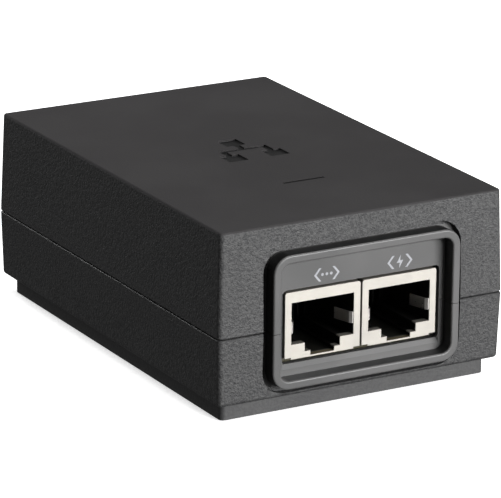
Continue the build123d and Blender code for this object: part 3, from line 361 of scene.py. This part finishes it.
def board_laminate():
    """Solder mask over woven glass cloth, with bare laminate at the cut edges, painted near-black brown as
    painted shade.
    """
    s = Shader("board_laminate")
    weave = s.bands("X", WEAVE_PITCH)
    weft = s.bands("Y", WEAVE_PITCH)
    cloth = s.math("MULTIPLY", s.math("ADD", weave, weft), 0.5)
    cloud = s.noise(BOARD_CLOUD, 3.0)
    mask = s.blend(s.ramp(cloud, 0.3, 0.7), (0.012, 0.05, 0.02), (0.02, 0.075, 0.03))
    # bare laminate at the cut edges, darkened as painted shade
    shaded_bare_edge = s.blend(cloud, (0.02, 0.018, 0.008), (0.045, 0.04, 0.02))
    middle = s.inside(BOARD_LOW, BOARD_HIGH)
    s.feed("Base Color", s.blend(middle, shaded_bare_edge, mask))
    s.feed("Roughness", s.ramp(cloud, 0.3, 0.7, 0.25, 0.4))
    s.feed("Normal", s.bump(cloth, 0.3, CLOTH_BUMP))
    return s.material


def ferrite():
    """Sintered ferrite: dark grey, powdery, with pale specks."""
    s = Shader("ferrite")
    speck = s.noise(1 / SPECK_SIZE, 2.0, 0.8)
    cloud = s.noise(FERRITE_CLOUD, 4.0)
    stone = s.blend(s.ramp(cloud, 0.3, 0.7), (0.03, 0.03, 0.032), (0.06, 0.06, 0.062))
    s.feed("Base Color", s.blend(s.ramp(speck, 0.66, 0.74), stone, (0.16, 0.16, 0.16)))
    s.feed("Roughness", s.ramp(speck, 0.3, 0.7, 0.6, 0.85))
    s.feed("Normal", s.bump(speck, 0.7, SPECK_BUMP))
    return s.material


def wound_wire(colour, shade, pitch, metallic):
    """Turns of wire or tape laid side by side up the coil, with painted shade in the grooves between turns.
    """
    s = Shader("wound_wire")
    turn = s.bands("Z", pitch)
    cloud = s.noise(WIRE_CLOUD, 3.0)
    # painted shade: darker in the grooves between turns, varied by the cloud noise
    s.feed("Base Color", s.blend(s.math("MULTIPLY", turn, cloud), shade, colour))
    s.feed("Roughness", s.ramp(cloud, 0.3, 0.7, 0.25, 0.42))
    s.feed("Normal", s.bump(turn, 0.8, pitch / 3))
    s.set(Metallic=metallic)
    return s.material


def insulating_film():
    """Thin fish-paper sheet: pale, fibrous and slightly translucent."""
    s = Shader("insulating_film")
    fibre = s.noise(1 / FILM_FIBRE, 5.0, 0.7, where=s.stretched((1, 6, 1)))
    pulp = s.blend(s.ramp(fibre, 0.3, 0.7), (0.58, 0.56, 0.48), (0.72, 0.70, 0.62))
    s.feed("Base Color", pulp)
    s.feed("Roughness", s.ramp(fibre, 0.3, 0.7, 0.5, 0.7))
    s.feed("Normal", s.bump(fibre, 0.5, CLOTH_BUMP))
    s.set(Subsurface_Weight=0.1, Subsurface_Scale=0.5 * MM)
    return s.material


def printed_ink():
    """Light grey pad-printed ink, a little thin in places."""
    s = Shader("printed_ink")
    thin = s.noise(1 / INK_SPECK, 3.0, 0.7)
    s.feed("Base Color", s.blend(s.ramp(thin, 0.35, 0.7), INK_FULL, INK_THIN))
    s.feed("Roughness", s.ramp(thin, 0.3, 0.7, 0.5, 0.7))
    s.feed("Normal", s.bump(thin, 0.4, FINE_BUMP))
    return s.material


def make_finishes():
    """One material for each material slot of the model's parts."""
    white, steel = (0.78, 0.77, 0.72), (0.45, 0.45, 0.46)
    inlet_black, inlet_grey = (0.016, 0.016, 0.017), (0.028, 0.028, 0.029)
    chip_black, chip_grey = (0.014, 0.014, 0.015), (0.03, 0.03, 0.03)
    jack_black, jack_grey = (0.003, 0.003, 0.003), (0.006, 0.006, 0.006)
    return {
        "case_plastic": case_plastic(),
        "bracket_plastic": moulded_plastic(BRACKET_DARK, BRACKET_LIGHT, 0.5 * MM, 0.05 * MM, 0.55, 0.3),
        "gloss_inlay": gloss((0.006, 0.006, 0.006), (0.010, 0.010, 0.010), 0.35, specular=0.08),
        "light_pipe": gloss((0.001, 0.001, 0.001), (0.002, 0.002, 0.002), 0.4, specular=0.03),
        "led_package": gloss(white, (0.70, 0.69, 0.62), 0.3),
        "screw_steel": plated_metal(steel, (0.34, 0.34, 0.33), 0.36, (1, 1, 8)),
        "board_laminate": board_laminate(),
        "film": insulating_film(),
        "inlet_plastic": moulded_plastic(inlet_black, inlet_grey, 0.4 * MM, 0.03 * MM, 0.5),
        "inlet_metal": plated_metal((0.70, 0.68, 0.62), (0.55, 0.52, 0.45), 0.25, (1, 8, 1)),
        "component_plastic": moulded_plastic(chip_black, chip_grey, 0.25 * MM, 0.02 * MM, 0.6),
        "varistor_coat": gloss((0.02, 0.07, 0.26), (0.04, 0.10, 0.34), 0.3, wavy=0.1 * MM),
        "capacitor_box": gloss((0.50, 0.38, 0.04), (0.58, 0.45, 0.08), 0.35),
        "disc_coat": gloss((0.08, 0.22, 0.48), (0.12, 0.28, 0.58), 0.3, wavy=0.1 * MM),
        "ferrite": ferrite(),
        "copper_wire": wound_wire((0.62, 0.26, 0.10), (0.22, 0.07, 0.03), 0.55 * MM, 0.9),
        "capacitor_sleeve": gloss((0.012, 0.012, 0.022), (0.022, 0.022, 0.036), 0.28, coat=0.3),
        "winding_tape": wound_wire((0.66, 0.50, 0.08), (0.46, 0.34, 0.05), 2.8 * MM, 0.0),
        "heatsink_metal": plated_metal((0.68, 0.69, 0.70), (0.56, 0.57, 0.58), 0.34, (1, 1, 10)),
        "jack_shield_metal": jack_shield(),
        "spring_metal": plated_metal((0.62, 0.60, 0.57), (0.50, 0.48, 0.45), 0.32, (1, 8, 1)),
        "jack_insulator": moulded_plastic(jack_black, jack_grey, 0.3 * MM, 0.02 * MM, 0.6, 0.1),
        "contact_gold": plated_metal((0.80, 0.58, 0.22), (0.66, 0.45, 0.16), 0.24, (1, 10, 1)),
    }


# ================================================================ printed port signs
def outlined_mesh(name, outlines, depth):
    """Mesh of flat shapes drawn in X and Z on the label panel, each standing depth in front of it."""
    shapes = bmesh.new()
    for outline in outlines:
        back = [shapes.verts.new((x, PANEL_Y, z)) for x, z in outline]
        front = [shapes.verts.new((x, PANEL_Y - depth, z)) for x, z in outline]
        shapes.faces.new(front)
        for index, low in enumerate(back):
            after = (index + 1) % len(back)
            shapes.faces.new((low, back[after], front[after], front[index]))
    bmesh.ops.recalc_face_normals(shapes, faces=shapes.faces)
    mesh = bpy.data.meshes.new(name)
    shapes.to_mesh(mesh)
    shapes.free()
    return mesh


def chevron(x, side, z0, z1, reach, stroke):
    """Angle bracket whose point is at x, opening towards the middle of the sign."""
    middle = (z0 + z1) / 2
    inner = x - side * reach
    slant = stroke * math.hypot(reach, (z1 - z0) / 2) / ((z1 - z0) / 2)
    near, far = inner, inner - side * slant
    return [(near, z1), (x, middle), (near, z0), (far, z0), (x - side * slant, middle), (far, z1)]


def dot(x, z, radius, corners=20):
    """Round dot drawn as a polygon."""
    turns = [2 * math.pi * index / corners for index in range(corners)]
    return [(x + radius * math.cos(turn), z + radius * math.sin(turn)) for turn in turns]


def bolt(x, z0, z1, width):
    """Lightning bolt: two slanted blades that meet in a step."""
    half, middle, step = width / 2, (z0 + z1) / 2, (z1 - z0) * BOLT_STEP
    lean, waist = BOLT_LEAN * half, BOLT_WAIST * half
    return [(x + lean, z1), (x - half, middle - step), (x - waist, middle - step),
            (x - lean, z0), (x + half, middle + step), (x + waist, middle + step)]


def make_port_signs(ink):
    """Generic signs over the two jacks: brackets with dots for data, brackets with a bolt for power."""
    half = SIGN_WIDTH / 2
    signs = {"lan": [dot(LAN_SIGN_X + step * SIGN_DOT_PITCH, SIGN_MIDDLE, SIGN_DOT) for step in (-1, 0, 1)],
             "poe": [bolt(POE_SIGN_X, SIGN_LOW, SIGN_HIGH, SIGN_BOLT)]}
    for port, x in (("lan", LAN_SIGN_X), ("poe", POE_SIGN_X)):
        brackets = [chevron(x + side * half, side, SIGN_LOW, SIGN_HIGH, SIGN_REACH, SIGN_STROKE)
                    for side in (-1, 1)]
        name = port + "_port_sign"
        sign = bpy.data.objects.new(name, outlined_mesh(name, signs[port] + brackets, INK_DEPTH))
        sign.data.materials.append(ink)
        bpy.context.scene.collection.objects.link(sign)
        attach(sign, "case")


# ================================================================ stage
AMBIENT = 0.16
CASE_MIDDLE = (0, 0, 0.02)
OVERHEAD_PLACE, OVERHEAD_SIZE, OVERHEAD_POWER = (0.1, 0.1, 1.3), (1.4, 1.4), 15
KEY_PLACE, KEY_POWER = (0.5, -1.2, 0.25), 46
FILL_PLACE, FILL_POWER = (-0.1, 1.3, 0.5), 11
SIDE_LIGHT_SIZE = (0.8, 0.6)
FLOOR_HALF = 4.0
FLOOR_DROP = 0.2 * MM       # clear of the bracket's foot, so the two faces do not flicker
PAPER_DARK, PAPER_LIGHT = (0.89, 0.89, 0.89), (0.91, 0.91, 0.91)
FLOOR_GLOW = 0.6            # the paper is lit from below, so the shadow on it stays faint


def make_stage():
    mesh = bpy.data.meshes.new("floor")
    half = FLOOR_HALF
    corners = [(-half, -half, 0), (half, -half, 0), (half, half, 0), (-half, half, 0)]
    mesh.from_pydata(corners, [], [(0, 1, 2, 3)])
    floor = bpy.data.objects.new("floor", mesh)
    floor.location.z = -FLOOR_DROP
    bpy.context.scene.collection.objects.link(floor)
    s = Shader("floor_paper")
    fibre = s.noise(PAPER_FIBRE, 4.0)
    s.feed("Base Color", s.blend(fibre, PAPER_DARK, PAPER_LIGHT))
    s.set(Roughness=0.9, Specular_IOR_Level=0.0)
    s.set(Emission_Color=(1, 1, 1, 1), Emission_Strength=FLOOR_GLOW)
    mesh.materials.append(s.material)
    floor.visible_diffuse = False
    floor.visible_glossy = False


def area_light(name, place, target, size, power):
    data = bpy.data.lights.new(name, "AREA")
    data.shape = "RECTANGLE"
    data.size, data.size_y = size
    data.energy = power
    lamp = bpy.data.objects.new(name, data)
    lamp.location = place
    lamp.rotation_mode = "QUATERNION"
    lamp.rotation_quaternion = (Vector(target) - Vector(place)).to_track_quat("-Z", "Y")
    bpy.context.scene.collection.objects.link(lamp)


def make_light():
    """White to look at, dim as a light; softboxes overhead, in front to the right, and weak behind."""
    world = bpy.data.worlds.new("studio")
    world.use_nodes = True
    tree = world.node_tree
    shade = tree.nodes["Background"]
    path = tree.nodes.new("ShaderNodeLightPath")
    mix = tree.nodes.new("ShaderNodeMapRange")
    mix.inputs["To Min"].default_value = AMBIENT
    mix.inputs["To Max"].default_value = 1.0
    tree.links.new(path.outputs["Is Camera Ray"], mix.inputs["Value"])
    tree.links.new(mix.outputs["Result"], shade.inputs["Strength"])
    shade.inputs["Color"].default_value = (1, 1, 1, 1)
    bpy.context.scene.world = world
    area_light("overhead", OVERHEAD_PLACE, (0, 0, 0), OVERHEAD_SIZE, OVERHEAD_POWER)
    area_light("key", KEY_PLACE, CASE_MIDDLE, SIDE_LIGHT_SIZE, KEY_POWER)
    area_light("fill", FILL_PLACE, CASE_MIDDLE, SIDE_LIGHT_SIZE, FILL_POWER)
    bpy.context.scene.view_settings.view_transform = "Standard"


# ================================================================ finish
def paint(node, material):
    mesh = NODES[node].data
    mesh.materials.clear()
    mesh.materials.append(material)


make_camera()
make_stage()
make_light()
finishes = make_finishes()
for part in frame["record"]["subparts"]:
    paint(part["node"], finishes[part["material_slot"]])
make_port_signs(printed_ink())
